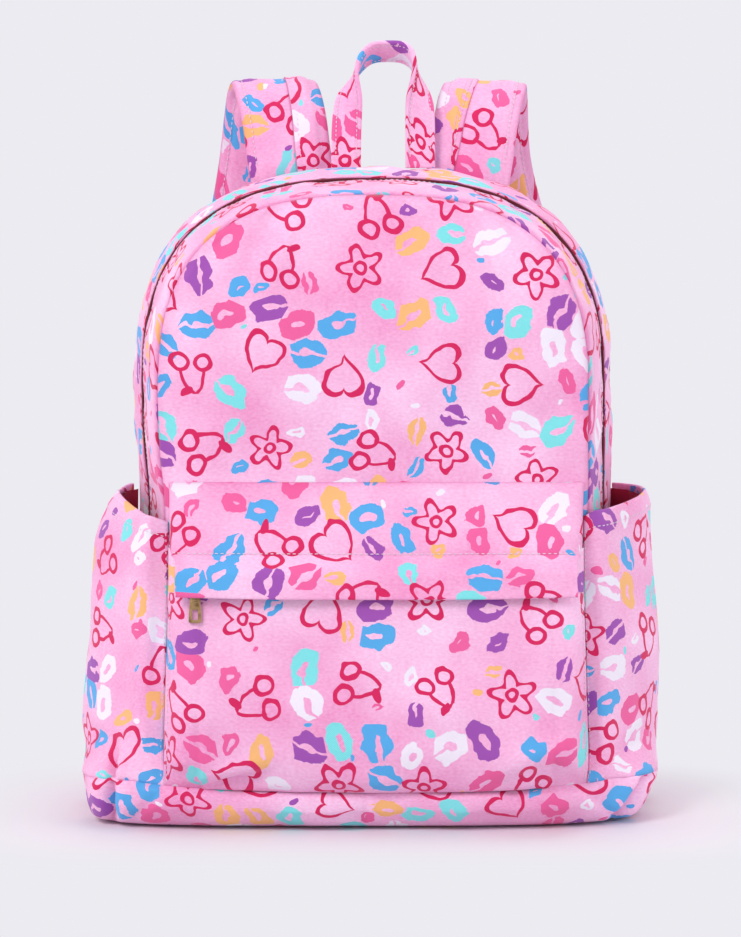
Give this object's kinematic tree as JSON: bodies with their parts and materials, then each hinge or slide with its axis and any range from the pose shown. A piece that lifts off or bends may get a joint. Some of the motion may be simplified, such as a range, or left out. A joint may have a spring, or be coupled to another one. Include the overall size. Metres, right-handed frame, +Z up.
{
  "type": "school backpack",
  "caption": "Arched school backpack: zipped main compartment with a fold-down front, zip pocket under a storm flap, open side pockets, padded shoulder straps and a haul loop.",
  "frame": {"origin": "on the floor under the middle of the main compartment, midway between its two sides and between its front and back seams", "axes": "+Z up, the front pocket faces -Y, the wearer's back is on the +Y side, +X is to the right seen from the front"},
  "size_m": [0.3894, 0.2412, 0.5188],
  "materials": {
    "printed_fabric": "woven polyester, all-over print, slight sheen",
    "lining": "thin plain-woven crimson lining",
    "binding": "grosgrain seam binding",
    "zip_tape": "herringbone zip tape",
    "zip_coil": "nylon coil",
    "brass_hardware": "antique brass, satin",
    "foam": "closed-cell foam",
    "board": "stiff polyethylene board",
    "buckle": "moulded acetal",
    "webbing": "ribbed polyester webbing"
  },
  "bodies": {
    "shell": {"back_cover": "printed_fabric", "back_foam": "foam", "back_lining": "lining", "rear_gusset": "printed_fabric", "rear_zip_flap": "printed_fabric", "rear_seam_binding": "binding", "lower_side_panel_left": "printed_fabric", "lower_side_panel_right": "printed_fabric", "front_gusset_lower": "printed_fabric", "front_zip_flap_lower": "printed_fabric", "front_panel_lower": "printed_fabric", "base_tub": "printed_fabric", "base_board": "board", "main_zip_tape_rear": "zip_tape", "main_zip_coil_rear": "zip_coil", "main_zip_tape_front_lower": "zip_tape", "main_zip_coil_front_lower": "zip_coil", "main_zip_end_tabs": "lining", "laptop_sleeve": "lining", "sleeve_binding": "binding", "pocket_face": "printed_fabric", "pocket_top_band": "printed_fabric", "pocket_zip_tape_upper": "zip_tape", "pocket_zip_tape_lower": "zip_tape", "pocket_zip_coil_upper": "zip_coil", "pocket_zip_coil_lower": "zip_coil", "side_pocket_left": "printed_fabric", "side_pocket_right": "printed_fabric", "side_pocket_lining_left": "lining", "side_pocket_lining_right": "lining", "side_pocket_hem_left": "printed_fabric", "side_pocket_hem_right": "printed_fabric", "anchor_wing_left": "printed_fabric", "anchor_wing_right": "printed_fabric", "webbing_left": "webbing", "webbing_right": "webbing", "strap_anchor_patch": "printed_fabric"},
    "lid": {"front_panel_upper": "printed_fabric", "front_gusset_upper": "printed_fabric", "front_zip_flap_upper": "printed_fabric", "main_zip_tape_front_upper": "zip_tape", "main_zip_coil_front_upper": "zip_coil", "lid_lining": "lining"},
    "main_slider": {"main_slider": "brass_hardware"},
    "main_puller": {"main_puller": "brass_hardware"},
    "pocket_slider": {"pocket_slider": "brass_hardware"},
    "pocket_puller": {"pocket_puller": "brass_hardware"},
    "pocket_flap": {"pocket_flap": "printed_fabric"},
    "strap_left": {"strap_cover_left": "printed_fabric", "strap_foam_left": "foam", "ladder_lock_left": "buckle", "ladder_lock_tab_left": "webbing"},
    "strap_right": {"strap_cover_right": "printed_fabric", "strap_foam_right": "foam", "ladder_lock_right": "buckle", "ladder_lock_tab_right": "webbing"},
    "haul_loop": {"haul_loop": "printed_fabric"}
  },
  "joints": [
    {"name": "lid_fold", "type": "hinge", "parent": "shell", "child": "lid", "pos_m": [0, -0.0757, 0.229], "axis": [1, 0, 0], "range_deg": [0, 60]},
    {"name": "main_zip_slide", "type": "slide", "parent": "shell", "child": "main_slider", "axis": [0, 0, 1], "range_m": [0, 0.08]},
    {"name": "main_puller_swing", "type": "hinge", "parent": "main_slider", "child": "main_puller", "pos_m": [0.15268, -0.011, 0.19595], "axis": [0, -1, 0], "range_deg": [0, 100]},
    {"name": "pocket_zip_slide", "type": "slide", "parent": "shell", "child": "pocket_slider", "axis": [1, 0, 0], "range_m": [0, 0.234]},
    {"name": "pocket_puller_swing", "type": "hinge", "parent": "pocket_slider", "child": "pocket_puller", "pos_m": [-0.115, -0.09642, 0.162], "axis": [0, -0.9863, 0.165], "range_deg": [-40, 40]},
    {"name": "flap_lift", "type": "hinge", "parent": "shell", "child": "pocket_flap", "pos_m": [0, -0.0923, 0.179], "axis": [-1, 0, 0], "range_deg": [0, 100]},
    {"name": "strap_left_swing", "type": "hinge", "parent": "shell", "child": "strap_left", "pos_m": [-0.054, 0.081, 0.432], "axis": [1, 0, 0], "range_deg": [0, 12]},
    {"name": "strap_right_swing", "type": "hinge", "parent": "shell", "child": "strap_right", "pos_m": [0.064, 0.081, 0.432], "axis": [1, 0, 0], "range_deg": [0, 12]},
    {"name": "loop_fold", "type": "hinge", "parent": "shell", "child": "haul_loop", "pos_m": [0, 0.0692, 0.4306], "axis": [1, 0, 0], "range_deg": [0, 85]}
  ]
}
